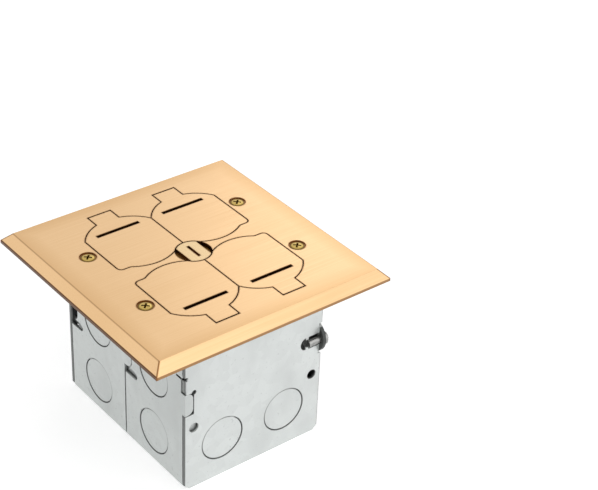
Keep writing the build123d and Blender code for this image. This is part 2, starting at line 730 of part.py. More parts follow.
def receptacle_face(side):
    """The moulded front. Its flange keeps clear of the dial's washers, which lie between the gangs."""
    face = prism(RectangleRounded(body_len, body_width, body_corner_r), ear_top, ear_top + flange_thk)
    face -= rod_z(washer_r + washer_room, ear_top - 1, ear_top + flange_thk + 1, 0, -side * gang_y)
    for x in (-outlet_x, outlet_x):
        plan = (Pos(x, 0) * Circle(face_dia / 2)) & (Pos(x, 0) * Rectangle(face_flats, face_dia))
        boss = prism(plan, ear_top, ear_top + face_rise)
        face += chamfer(boss.faces().sort_by(Axis.Z)[-1].edges(), face_edge)
    face += rod_z(3 * terminal_r / 2, ear_top, ear_top + flange_thk + 1)
    face -= rod_z(terminal_r / 2, ear_top - 1, ear_top + flange_thk + 2)
    top, bottom = ear_top + face_rise + 1, ear_top - 1
    for x, ground in zip(blade_x, earth_x):
        half = blade_slot_width / 2
        face -= block(x - hot_slot_len / 2, x + hot_slot_len / 2, -blade_offset - half, -blade_offset + half,
                      bottom, top)
        face -= block(x - neutral_slot_len / 2, x + neutral_slot_len / 2, blade_offset - half,
                      blade_offset + half, bottom, top)
        face -= block(x - half, x + half, blade_offset, blade_offset + half + tee_slot_len, bottom, top)
        face -= rod_z(earth_slot_r, bottom, top, ground, 0)
        face -= block(ground, ground + earth_slot_r, -earth_slot_r, earth_slot_r, bottom, top)
    for x, y in assembly_places():
        face -= rod_z(assembly_r + seat_gap, bottom, ear_top + assembly_bite + run_gap, x, y)
    return face


def assembly_places():
    return [(side_x * assembly_x, side_y * assembly_y) for side_x in (-1, 1) for side_y in (-1, 1)]


def receptacle_housing():
    low, top = body_bottom, ear_top
    housing = prism(RectangleRounded(body_len, body_width, body_corner_r), low, top)
    bus_in, bus_out = bus_y - bus_thk / 2 - run_gap, bus_y + bus_thk / 2 + run_gap
    for side in (-1, 1):
        housing -= block(-recess_half, recess_half, side * recess_y, side * (body_width / 2 + 1),
                         low + recess_foot, top - recess_foot / 2)
        housing -= block(-body_len / 2 + 5, body_len / 2 - 5, side * bus_in, side * bus_out, pocket_z, top + 1)
        for x in blade_x:
            inner = blade_offset - leaf_half_gap - leaf_thk - run_gap
            housing -= block(x - leaf_len / 2 - run_gap, x + leaf_len / 2 + run_gap, side * inner,
                             side * bus_out, pocket_z, top + 1)
        housing -= block(-bus_thk * 4, bus_thk * 4, side * bus_in, side * (recess_y + 1),
                         terminal_z - bus_thk, terminal_z + bus_thk)
        for x in (-terminal_x, terminal_x):
            housing -= rod_y(terminal_r + seat_gap, side * (recess_y - terminal_bite), side * body_width,
                             x, terminal_z)
    strip = earth_strip_half + run_gap
    housing -= block(-body_len / 2 + 5, body_len / 2 - 5, -strip, strip, pocket_z, top + 1)
    for x in earth_x:
        housing -= block(x - leaf_len / 2, x + leaf_len / 2, -earth_slot_r - 2 * leaf_thk,
                         earth_slot_r + 2 * leaf_thk, pocket_z, top + 1)
    for x, y in assembly_places():
        housing -= rod_z(assembly_r + run_gap, low - 1, top + 1, x, y)
        housing -= rod_z(assembly_head_r + run_gap, low - 1, low + assembly_head_h, x, y)
    return housing - rod_z(rivet_r + seat_gap, low - 1, pocket_z + 1)


def line_contact(side):
    """Bus strip with a pair of leaves at each outlet and a plate for the terminal screws."""
    base = pocket_z + bus_thk
    contact = block(-body_len / 2 + 6, body_len / 2 - 6, bus_y - bus_thk / 2, bus_y + bus_thk / 2,
                    pocket_z, pocket_z + bus_height)
    for x in blade_x:
        x0, x1 = x - leaf_len / 2, x + leaf_len / 2
        near, far = blade_offset - leaf_half_gap, blade_offset + leaf_half_gap
        contact += block(x0, x1, near - leaf_thk, bus_y, pocket_z, base)
        contact += block(x0, x1, near - leaf_thk, near, pocket_z, ear_top - 1)
        contact += block(x0, x1, far, far + leaf_thk, pocket_z, ear_top - 1)
    contact += block(-bus_thk * 3, bus_thk * 3, bus_y, terminal_y + bus_thk / 2,
                     terminal_z - bus_thk / 2, terminal_z + bus_thk / 2)
    plate = block(-terminal_plate_half, terminal_plate_half, terminal_y, terminal_y + bus_thk,
                  terminal_z - terminal_plate_h / 2, terminal_z + terminal_plate_h / 2)
    for x in (-terminal_x, terminal_x):
        plate -= rod_y(terminal_r + seat_gap, terminal_y - 1, terminal_y + bus_thk + 1, x, terminal_z)
    contact += plate
    return contact if side > 0 else mirror(contact, about=Plane.XZ)


def side_screw(x, z, seat_y, tip_y):
    """A slotted terminal screw along Y whose head bears on seat_y from outside."""
    out = 1 if seat_y > tip_y else -1
    screw = rod_y(terminal_r, tip_y, seat_y + out * terminal_head_h / 2, x, z)
    screw += rod_y(terminal_head_r, seat_y, seat_y + out * terminal_head_h, x, z)
    return screw - block(x - terminal_head_r, x + terminal_head_r, seat_y + out * terminal_head_h / 2,
                         seat_y + out * (terminal_head_h + 1), z - 0.5, z + 0.5)


def terminal_screws(side):
    seat = side * (terminal_y + bus_thk)
    tip = side * (recess_y - terminal_bite + run_gap)
    return group([side_screw(x, terminal_z, seat, tip) for x in (-terminal_x, terminal_x)])


def earth_contact():
    strip = block(-body_len / 2 + 6, body_len / 2 - 6, -earth_strip_half, earth_strip_half,
                  pocket_z, pocket_z + bus_thk)
    for x in earth_x:
        spread = earth_slot_r + leaf_thk
        x0, x1 = x - leaf_len / 3, x + leaf_len / 3
        strip += block(x0, x1, -spread, spread, pocket_z, pocket_z + bus_thk)
        for side in (-1, 1):
            strip += block(x0, x1, side * earth_slot_r, side * spread, pocket_z, ear_top - 1)
    return strip - rod_z(rivet_r + seat_gap, pocket_z - 1, pocket_z + bus_thk + 1)


def strap_rivet():
    low = body_bottom - strap_thk
    rivet = rod_z(rivet_r, low, pocket_z + bus_thk) + rod_z(rivet_head_r, low - rivet_head_h, low)
    head_low = pocket_z + bus_thk
    return rivet + rod_z(earth_strip_half, head_low, head_low + rivet_head_h)


def assembly_screws():
    low = body_bottom
    return group([rod_z(assembly_r, low + assembly_head_h / 2, ear_top + assembly_bite, x, y)
                  + hex_head(assembly_head_r, low, low + assembly_head_h, x, y) for x, y in assembly_places()])


def receptacle(side):
    move = Pos(0, side * gang_y, 0)
    parts = {
        "receptacle_strap": receptacle_strap(),
        "receptacle_face": receptacle_face(side),
        "receptacle_housing": receptacle_housing(),
        "hot_contact": line_contact(-1),
        "neutral_contact": line_contact(1),
        "earth_contact": earth_contact(),
        "hot_terminal_screws": terminal_screws(-1),
        "neutral_terminal_screws": terminal_screws(1),
        "earth_terminal_screw": side_screw(earth_tab_x, earth_screw_z, earth_tab_y,
                                           body_width / 2 + run_gap),
        "strap_rivet": strap_rivet(),
        "assembly_screws": assembly_screws(),
    }
    return {name: move * shape for name, shape in parts.items()}


def build():
    nodes = {
        "cover_plate": cover_plate(),
        "plate_gasket": plate_gasket(),
        "cover_screws": group(in_all_corners(cover_screw())),
        "centre_dial": centre_dial(),
        "dial_stop_pin": dial_stop_pin(),
        "dial_bridge": dial_bridge(),
        "dial_bridge_screws": bridge_screws(),
        "dial_thrust_washer": thrust_washer(),
        "dial_spring_washer": spring_washer(),
        "dial_retaining_clip": retaining_clip(),
        "side_panel_front": side_panel_front(),
        "side_panel_rear": side_panel_rear(),
        "gang_screws": gang_screws(),
        "box_earth_screws": box_earth_screws(),
    }
    lid_pieces = {"flip_lid": flip_lid(), "lid_seal": lid_seal(), "hinge_pin": hinge_pin(),
                  "hinge_keeper": hinge_keeper()}
    for corner, side in CORNERS.items():
        for piece, shape in lid_pieces.items():
            nodes[f"{piece}_{corner}"] = to_corner(shape, *side)
    nodes["hinge_keeper_screws"] = group(
        [screw for pair in keeper_screws() for screw in in_all_corners(pair)])
    for gang, side in GANGS.items():
        nodes[f"gang_body_{gang}"] = gang_body(side)
        for piece, shape in receptacle(side).items():
            nodes[f"{piece}_{gang}"] = shape
    return nodes


for node, shape in build().items():
    export_step(shape, f"parts/{node}.step")
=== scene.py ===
"""Looks for the floor socket box: camera, light, floor, materials and fine pieces."""
import math

import bmesh
import bpy
from mathutils import Matrix, Vector


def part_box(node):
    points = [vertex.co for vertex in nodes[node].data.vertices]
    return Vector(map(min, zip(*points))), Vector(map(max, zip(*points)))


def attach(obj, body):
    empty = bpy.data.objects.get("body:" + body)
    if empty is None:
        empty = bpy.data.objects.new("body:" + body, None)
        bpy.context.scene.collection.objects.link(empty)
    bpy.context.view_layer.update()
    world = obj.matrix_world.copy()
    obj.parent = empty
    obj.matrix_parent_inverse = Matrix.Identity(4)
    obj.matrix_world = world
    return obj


MM = 0.001

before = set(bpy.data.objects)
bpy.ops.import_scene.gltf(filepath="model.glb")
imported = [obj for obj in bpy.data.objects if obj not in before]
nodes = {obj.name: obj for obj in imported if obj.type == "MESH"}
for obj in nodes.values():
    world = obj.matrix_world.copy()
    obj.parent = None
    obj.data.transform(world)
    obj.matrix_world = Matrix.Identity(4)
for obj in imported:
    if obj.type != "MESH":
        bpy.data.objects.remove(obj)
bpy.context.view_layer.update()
scene = bpy.context.scene
scene.view_settings.view_transform = "Standard"

# Camera, fitted to the photograph

CAMERA_POS = Vector((-0.36101, -0.50691, 0.49856))
CAMERA_FORWARD = Vector((0.537259, 0.643875, -0.544773))
CAMERA_ROLL = math.radians(2.698)
IMAGE_WIDTH = 598
FOCAL_PIXELS = 1639.4
SENSOR_MM = 36.0
CLIP_NEAR = 0.01
CLIP_FAR = 20


def make_camera():
    data = bpy.data.cameras.new("camera")
    data.sensor_width = SENSOR_MM
    data.lens = FOCAL_PIXELS / IMAGE_WIDTH * SENSOR_MM
    data.clip_start = CLIP_NEAR
    data.clip_end = CLIP_FAR
    camera = bpy.data.objects.new("camera", data)
    upright = CAMERA_FORWARD.to_track_quat("-Z", "Y").to_matrix()
    aim = upright @ Matrix.Rotation(CAMERA_ROLL, 3, "Z")
    camera.matrix_world = Matrix.Translation(CAMERA_POS) @ aim.to_4x4()
    scene.collection.objects.link(camera)
    scene.camera = camera


# Light and floor

WORLD_LEVEL = 0.62
BACKGROUND = (1.0, 1.0, 1.0)
FLOOR_HALF = 3.0
FLOOR_COLOUR = (0.86, 0.86, 0.86)
FLOOR_ROUGHNESS = 0.9
FLOOR_LIFT = 0.50

# Each lamp's name, place in metres, diameter in metres and power in watts
LAMPS = (
    ("key", (0.25, -1.25, 0.60), 1.8, 6.0),
    ("back", (0.42, 0.36, 0.42), 0.25, 0.145),
    ("side", (-1.0, 0.9, 1.0), 0.9, 0.32),
)
LAMP_TARGET = Vector((0, 0, 0.05))


def backdrop_seen(tree):
    """1 for rays that meet the plain white background: camera, glossy and transmission rays."""
    path = tree.nodes.new("ShaderNodeLightPath")
    seen = path.outputs["Is Camera Ray"]
    for ray in ("Is Glossy Ray", "Is Transmission Ray"):
        either = tree.nodes.new("ShaderNodeMath")
        either.operation = "MAXIMUM"
        tree.links.new(seen, either.inputs[0])
        tree.links.new(path.outputs[ray], either.inputs[1])
        seen = either.outputs[0]
    return seen


def make_world():
    world = bpy.data.worlds.new("studio")
    world.use_nodes = True
    tree = world.node_tree
    light = tree.nodes["Background"]
    light.inputs["Color"].default_value = (1, 1, 1, 1)
    light.inputs["Strength"].default_value = WORLD_LEVEL
    shown = tree.nodes.new("ShaderNodeBackground")
    shown.inputs["Color"].default_value = (*BACKGROUND, 1)
    shown.inputs["Strength"].default_value = 1.0
    mix = tree.nodes.new("ShaderNodeMixShader")
    tree.links.new(backdrop_seen(tree), mix.inputs[0])
    tree.links.new(light.outputs[0], mix.inputs[1])
    tree.links.new(shown.outputs[0], mix.inputs[2])
    tree.links.new(mix.outputs[0], tree.nodes["World Output"].inputs["Surface"])
    scene.world = world


def make_lamp(name, place, diameter, power):
    data = bpy.data.lights.new(name, "AREA")
    data.shape = "DISK"
    data.size = diameter
    data.energy = power
    lamp = bpy.data.objects.new(name, data)
    place = Vector(place)
    aim = (LAMP_TARGET - place).to_track_quat("-Z", "Y").to_matrix().to_4x4()
    lamp.matrix_world = Matrix.Translation(place) @ aim
    scene.collection.objects.link(lamp)


def make_floor():
    """A white floor that keeps the shadow. Seen from below it lets the underside show."""
    far = FLOOR_HALF
    corners = [(-far, -far, 0), (far, -far, 0), (far, far, 0), (-far, far, 0)]
    mesh = bpy.data.meshes.new("floor")
    mesh.from_pydata(corners, [], [(0, 1, 2, 3)])
    floor = bpy.data.objects.new("floor", mesh)
    scene.collection.objects.link(floor)
    material = bpy.data.materials.new("floor_white")
    material.use_nodes = True
    tree = material.node_tree
    shader = tree.nodes["Principled BSDF"]
    shader.inputs["Base Color"].default_value = (*FLOOR_COLOUR, 1)
    shader.inputs["Roughness"].default_value = FLOOR_ROUGHNESS
    shader.inputs["Specular IOR Level"].default_value = 0.0
    lift = tree.nodes.new("ShaderNodeEmission")
    scale = tree.nodes.new("ShaderNodeMath")
    scale.operation = "MULTIPLY"
    scale.inputs[1].default_value = FLOOR_LIFT
    tree.links.new(backdrop_seen(tree), scale.inputs[0])
    tree.links.new(scale.outputs[0], lift.inputs["Strength"])
    add = tree.nodes.new("ShaderNodeAddShader")
    tree.links.new(shader.outputs[0], add.inputs[0])
    tree.links.new(lift.outputs[0], add.inputs[1])
    below = tree.nodes.new("ShaderNodeNewGeometry")
    clear = tree.nodes.new("ShaderNodeBsdfTransparent")
    mix = tree.nodes.new("ShaderNodeMixShader")
    tree.links.new(below.outputs["Backfacing"], mix.inputs[0])
    tree.links.new(add.outputs[0], mix.inputs[1])
    tree.links.new(clear.outputs[0], mix.inputs[2])
    tree.links.new(mix.outputs[0], tree.nodes["Material Output"].inputs["Surface"])
    mesh.materials.append(material)


# Sizes that the materials follow

BEVEL = 4.3 * MM
DIAL_HALF_WIDTH, DIAL_R, PLATE_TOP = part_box("centre_dial")[1]
LIP_TOP = PLATE_TOP - BEVEL
PLATE_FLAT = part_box("cover_plate")[1][0] - BEVEL
BOX_HALF_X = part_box("side_panel_front")[1][0]
BOX_HALF_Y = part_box("side_panel_rear")[1][1]
SHEET = 1.6 * MM
KNOCKOUT_EDGE_R = 11.1 * MM
WALL_KNOCKOUT_Z = (18.1 * MM, 51.0 * MM)
PANEL_KNOCKOUT_X = 17.5 * MM
PANEL_KNOCKOUT_Z = 20.9 * MM
SCREW_HEAD_R = 3.45 * MM
SCREW_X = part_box("cover_screws")[1][0] - SCREW_HEAD_R
GANG_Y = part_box("cover_screws")[1][1] - SCREW_HEAD_R

# Painted shade on the brass

RIM_WIDTH = 9.0 * MM
FLAT_INSET = 0.8 * MM
CUT_DEPTH = 1.6 * MM
CUT_BLEND = (0.16 * MM, 0.04 * MM)
LEVEL_FACE_SHADE = 0.25
GAP_EDGE_RADIUS = 0.9 * MM
GAP_EDGE_SHADE = 0.7
LIP_BLEND = 0.1 * MM
SIDE_LIP_RISE = 0.3 * MM
FRONT_LIP_SHADE = 0.72
BEVEL_LINE = (0.1 * MM, 0.4 * MM)
MITRE_LINE = (0.2 * MM, 0.8 * MM)

# Painted shade on the zinc

SUNK_BLEND = (0.4 * MM, 0.9 * MM)
BOTTOM_CLEAR = 3.0 * MM
EAR_BLEND = (0.2 * MM, 0.6 * MM)
CUT_EDGE_BLEND = (0.3 * MM, 0.1 * MM)
RING_BLEND = (0.2 * MM, 0.55 * MM)

# Painted shade on the screw heads: radii of the darkened rim and depths of the darkened recess

HEAD_RIM_SHADE_RADII = (0.72 * SCREW_HEAD_R, 0.86 * SCREW_HEAD_R)
RECESS_BLEND = (0.5 * MM, 0.2 * MM)

# How far each mark goes towards the dark colour, from 0 to 1. TONE_SHADE, SMEAR_SHADE and
# HEAD_MARK_SHADE set the metals' own tone; the others set painted shade.

TONE_SHADE = 0.35
RIM_SHADE = 0.85
BEVEL_LINE_SHADE = 0.55
MITRE_SHADE = 0.9
SMEAR_SHADE = 0.75
SUNK_SHADE = 0.85
EAR_SHADE = 0.95
CUT_EDGE_SHADE = 0.8
RING_SHADE = 0.5
HEAD_RIM_SHADE = 0.9
RECESS_SHADE = 0.65
HEAD_MARK_SHADE = 0.4

# Textures: features per metre, stretch, and the band of the noise that is used

BRASS_STREAKS = 420
BRASS_DRIFT = 16
BRASS_GRAIN = 2600
ZINC_SPANGLE = 240
ZINC_SMEAR = 42
ZINC_SPECKS = 650
ZINC_GRAIN = 900
TOOL_MARKS = 1500
PATINA = 400
PLASTIC_GRAIN = 3000
PLASTIC_TONE = 60
EVEN = (1, 1, 1)
BRUSHED_X = (0.04, 5.0, 5.0)
BRUSHED_Y = (6.0, 0.05, 5.0)
SMEAR_STRETCH = (1, 1, 0.5)
MARK_STRETCH = (1, 1, 0.3)
DRIFT_BAND = (0.4, 0.75)
STREAK_BAND = (0.35, 0.7)
SMEAR_BAND = (0.50, 0.70)
SPECK_BAND = (0.67, 0.73)
HEAD_MARK_BAND = (0.5, 0.75)
ROUGHNESS_BAND = (0.3, 0.7)
UPRIGHT_BAND = (0.4, 0.6)
EDGE_BAND = (0.90, 0.995)

# Relief: the radius of the rounded corners and the height of each texture

BRASS_CORNER = 0.25 * MM
ZINC_CORNER = 0.3 * MM
PLATED_CORNER = 0.15 * MM
PLASTIC_CORNER = 0.2 * MM
BRASS_RELIEF = 0.003 * MM
SMEAR_RELIEF = 0.04 * MM
ZINC_RELIEF = 0.006 * MM
MARK_RELIEF = 0.01 * MM
PLASTIC_RELIEF = 0.015 * MM
BEVEL_SAMPLES = 4

# Gloss

BRASS_ROUGHNESS = (0.32, 0.40)
ZINC_ROUGHNESS = (0.42, 0.52)
HEAD_ROUGHNESS = (0.24, 0.36)
COAT_WEIGHT = 0.35
COAT_ROUGHNESS = 0.35

# Colours, linear

BRASS_LIGHT = (0.80, 0.535, 0.285)
BRASS_DARK = (0.68, 0.42, 0.19)
DIAL_LIGHT = (0.76, 0.56, 0.31)
DIAL_DARK = (0.60, 0.42, 0.20)
# Painted shade: brass darkened for the dial shelves down in the recess
SHADED_SHELF_BRASS = (0.16, 0.08, 0.015)
# Painted shade, in brown, for the brass's cut-outs, gap edges, lip, mitres and bevel line
CREVICE_SHADE = (0.20, 0.07, 0.006)
DEEP_CREVICE_SHADE = (0.10, 0.035, 0.003)
SCREW_BRIGHT = (0.58, 0.41, 0.12)
# Painted shade for the cover screw heads' rim and driver recess
SCREW_SHADE = (0.12, 0.065, 0.010)
PANEL_ZINC = (0.70, 0.725, 0.715)
# Painted shade: the gang bodies' zinc is the panels' zinc made darker, for walls that face away
# from the light
SHADED_BODY_ZINC = (0.62, 0.645, 0.633)
TAB_ZINC = (0.62, 0.64, 0.63)
# Painted shade: darker zinc for the tab deep in the front left notch
SHADED_TAB_ZINC = (0.30, 0.31, 0.30)
# Painted shade, a near black grey, for the zinc's recesses, gaps, ear, knockout rings and cut
# edges
PAINTED_SHADE_GREY = (0.05, 0.052, 0.05)
BRIGHT_ZINC = (0.62, 0.62, 0.60)
# Painted shade: darker zinc for the gang screws, which lie in the shaded trough
SHADED_SCREW_ZINC = (0.36, 0.36, 0.35)
DULL_ZINC = (0.20, 0.19, 0.17)
CONTACT_BRASS = (0.70, 0.48, 0.20)
TERMINAL_SILVER = (0.70, 0.70, 0.68)
EARTH_GREEN = (0.05, 0.30, 0.10)
RUBBER_BLACK = (0.02, 0.02, 0.02)
OUTLET_BROWN = (0.10, 0.045, 0.02)
HOUSING_BLACK = (0.03, 0.028, 0.026)

# Materials

def toned(colour, factor):
    return tuple(min(1.0, part * factor) for part in colour)


class Surface:
    """A principled material that is built up step by step."""

    def __init__(self, name, colour, metallic, roughness):
        self.material = bpy.data.materials.new(name)
        self.material.use_nodes = True
        self.tree = self.material.node_tree
        self.shader = self.tree.nodes["Principled BSDF"]
        self.shader.inputs["Base Color"].default_value = (*colour, 1)
        self.shader.inputs["Metallic"].default_value = metallic
        self.shader.inputs["Roughness"].default_value = roughness
        place = self.tree.nodes.new("ShaderNodeTexCoord")
        self.coords = place.outputs["Object"]
        self.facing = place.outputs["Normal"]

    def node(self, kind, **values):
        node = self.tree.nodes.new(kind)
        for key, value in values.items():
            setattr(node, key, value)
        return node

    def link(self, output, target):
        self.tree.links.new(output, target)

    def noise(self, per_metre, stretch=EVEN, detail=2.0):
        mapping = self.node("ShaderNodeMapping")
        mapping.inputs["Scale"].default_value = stretch
        self.link(self.coords, mapping.inputs["Vector"])
        noise = self.node("ShaderNodeTexNoise")
        noise.inputs["Scale"].default_value = per_metre
        noise.inputs["Detail"].default_value = detail
        self.link(mapping.outputs[0], noise.inputs["Vector"])
        return noise.outputs["Fac"]

    def cells(self, per_metre):
        cells = self.node("ShaderNodeTexVoronoi")
        cells.inputs["Scale"].default_value = per_metre
        self.link(self.coords, cells.inputs["Vector"])
        split = self.node("ShaderNodeSeparateColor")
        self.link(cells.outputs["Color"], split.inputs[0])
        return split.outputs[0]

    def math(self, operation, first, second=0.0):
        node = self.node("ShaderNodeMath", operation=operation)
        for socket, value in zip(node.inputs, (first, second)):
            if hasattr(value, "links"):
                self.link(value, socket)
            else:
                socket.default_value = value
        return node.outputs[0]

    def product(self, first, *others):
        for other in others:
            first = self.math("MULTIPLY", first, other)
        return first

    def gap(self, first, second):
        """The distance between two values."""
        return self.math("ABSOLUTE", self.math("SUBTRACT", first, second))

    def length(self, first, second):
        """The length of a line with these two components."""
        squares = [self.math("POWER", part, 2.0) for part in (first, second)]
        return self.math("SQRT", self.math("ADD", *squares))

    def axis(self, index):
        split = self.node("ShaderNodeSeparateXYZ")
        self.link(self.coords, split.inputs[0])
        return split.outputs[index]

    def away(self, index):
        """The distance from the middle along an axis."""
        return self.math("ABSOLUTE", self.axis(index))

    def upright(self, low, high):
        """From low on level faces to high on upright ones."""
        split = self.node("ShaderNodeSeparateXYZ")
        self.link(self.facing, split.inputs[0])
        return self.ranged(self.math("ABSOLUTE", split.outputs[2]), high, low, *UPRIGHT_BAND)

    def ring(self, index, offset, height, depth):
        """1 near a knockout's edge. Its centre is offset along X or Y and at a height."""
        along = self.math("SUBTRACT", self.away(index), offset)
        up = self.math("SUBTRACT", self.axis(2), height)
        off_edge = self.gap(self.length(along, up), KNOCKOUT_EDGE_R)
        near = self.ranged(off_edge, 1.0, 0.0, *RING_BLEND)
        return self.product(near, self.math("LESS_THAN", depth, SHEET))

    def edges(self, radius):
        """1 close to an edge, where the rounded normal leaves the true one."""
        bevel = self.node("ShaderNodeBevel", samples=BEVEL_SAMPLES)
        bevel.inputs["Radius"].default_value = radius
        geometry = self.node("ShaderNodeNewGeometry")
        agree = self.node("ShaderNodeVectorMath", operation="DOT_PRODUCT")
        self.link(bevel.outputs[0], agree.inputs[0])
        self.link(geometry.outputs["Normal"], agree.inputs[1])
        return self.ranged(agree.outputs["Value"], 1.0, 0.0, *EDGE_BAND)

    def ranged(self, value, low, high, start=0.0, end=1.0):
        ranged = self.node("ShaderNodeMapRange")
        limits = {"From Min": start, "From Max": end, "To Min": low, "To Max": high}
        for name, number in limits.items():
            ranged.inputs[name].default_value = number
        self.link(value, ranged.inputs["Value"])
        return ranged.outputs[0]

    def ramp(self, value, stops):
        """A blend between two stops, each a position and a colour."""
        ramp = self.node("ShaderNodeValToRGB")
        for element, (position, colour) in zip(ramp.color_ramp.elements, stops):
            element.position = position
            element.color = (*colour, 1)
        self.link(value, ramp.inputs["Fac"])
        return ramp.outputs["Color"]

    def mixed(self, first, second, factor):
        mix = self.node("ShaderNodeMix", data_type="RGBA")
        for socket, value in ((mix.inputs[6], first), (mix.inputs[7], second)):
            if hasattr(value, "links"):
                self.link(value, socket)
            else:
                socket.default_value = (*value, 1)
        self.link(factor, mix.inputs[0])
        return mix.outputs[2]

    def colour(self, value):
        self.link(value, self.shader.inputs["Base Color"])

    def roughness(self, value):
        self.link(value, self.shader.inputs["Roughness"])

    def bump(self, corner, *layers):
        """Rounds the corners. Each layer is a height from 0 to 1 and its real height in metres."""
        bevel = self.node("ShaderNodeBevel", samples=BEVEL_SAMPLES)
        bevel.inputs["Radius"].default_value = corner
        normal = bevel.outputs[0]
        for height, depth in layers:
            bump = self.node("ShaderNodeBump")
            bump.inputs["Strength"].default_value = 1.0
            bump.inputs["Distance"].default_value = depth
            self.link(height, bump.inputs["Height"])
            self.link(normal, bump.inputs["Normal"])
            normal = bump.outputs[0]
        self.link(normal, self.shader.inputs["Normal"])


def satin_brass(name, light, dark, brushing):
    """Brushed brass under clear lacquer, with painted shade darkening it towards the rim. Painted
    shade in brown darkens the cut-outs, the edges of the gaps, the lip under the bevel, the mitres
    and the line where the side bevels begin."""
    surface = Surface(name, light, 1.0, 0.36)
    surface.shader.inputs["Coat Weight"].default_value = COAT_WEIGHT
    surface.shader.inputs["Coat Roughness"].default_value = COAT_ROUGHNESS
    streaks = surface.noise(BRASS_STREAKS, brushing, 3.0)
    drift = surface.noise(BRASS_DRIFT)
    base = surface.mixed(light, dark, surface.ranged(drift, 0.0, TONE_SHADE, *DRIFT_BAND))
    base = surface.mixed(base, dark, surface.ranged(streaks, 0.0, TONE_SHADE, *STREAK_BAND))

    height = surface.axis(2)
    reach = surface.math("MAXIMUM", surface.away(0), surface.away(1))
    on_flat = surface.math("LESS_THAN", reach, PLATE_FLAT)
    inside = surface.math("LESS_THAN", reach, PLATE_FLAT - FLAT_INSET)
    outside = surface.math("GREATER_THAN", reach, PLATE_FLAT)
    sideways = surface.math("GREATER_THAN", surface.away(0), surface.away(1))

    # Painted shade: the flat face darkens towards the bevel, for the darker reflection at its edge
    rim = surface.ranged(reach, 0.0, RIM_SHADE, PLATE_FLAT - RIM_WIDTH, PLATE_FLAT)
    base = surface.mixed(base, dark, surface.product(rim, on_flat))

    # Painted shade in brown below the top inside the plate: full on walls and shallow faces, less
    # on deeper level faces
    cut = surface.ranged(height, 1.0, 0.0, *(PLATE_TOP - depth for depth in CUT_BLEND))
    shallow = surface.math("GREATER_THAN", height, PLATE_TOP - CUT_DEPTH)
    walls = surface.math("MAXIMUM", surface.upright(LEVEL_FACE_SHADE, 1.0), shallow)
    base = surface.mixed(base, CREVICE_SHADE, surface.product(cut, inside, walls))
    # Painted shade on the top faces along the edges of the gaps and cut-outs, widening their dark
    # lines
    shaded_edges = surface.product(surface.edges(GAP_EDGE_RADIUS), surface.product(inside, GAP_EDGE_SHADE))
    base = surface.mixed(base, CREVICE_SHADE, shaded_edges)

    # Painted shade on the lip under the bevel, darker and reaching higher on the sides than at
    # front and back
    lowered = surface.math("SUBTRACT", height, surface.product(sideways, SIDE_LIP_RISE))
    lip = surface.ranged(lowered, 1.0, 0.0, LIP_TOP - LIP_BLEND, LIP_TOP + LIP_BLEND)
    lip = surface.product(lip, outside, surface.ranged(sideways, FRONT_LIP_SHADE, 1.0))
    base = surface.mixed(base, CREVICE_SHADE, lip)
    base = surface.mixed(base, DEEP_CREVICE_SHADE, surface.product(lip, sideways))

    # Painted shade along the crease where the side bevels begin
    side = surface.gap(surface.away(0), PLATE_FLAT)
    side = surface.ranged(side, BEVEL_LINE_SHADE, 0.0, *BEVEL_LINE)
    within = surface.math("LESS_THAN", surface.away(1), PLATE_FLAT)
    base = surface.mixed(base, CREVICE_SHADE, surface.product(side, within))

    # Painted shade along the mitres where the bevels meet
    diagonal = surface.gap(surface.away(0), surface.away(1))
    mitre = surface.ranged(diagonal, MITRE_SHADE, 0.0, *MITRE_LINE)
    surface.colour(surface.mixed(base, CREVICE_SHADE, surface.product(mitre, outside)))

    surface.roughness(surface.ranged(streaks, *BRASS_ROUGHNESS, *ROUGHNESS_BAND))
    grain = surface.noise(BRASS_GRAIN, detail=1.0)
    surface.bump(BRASS_CORNER, (streaks, BRASS_RELIEF), (grain, BRASS_RELIEF))
    return surface.material


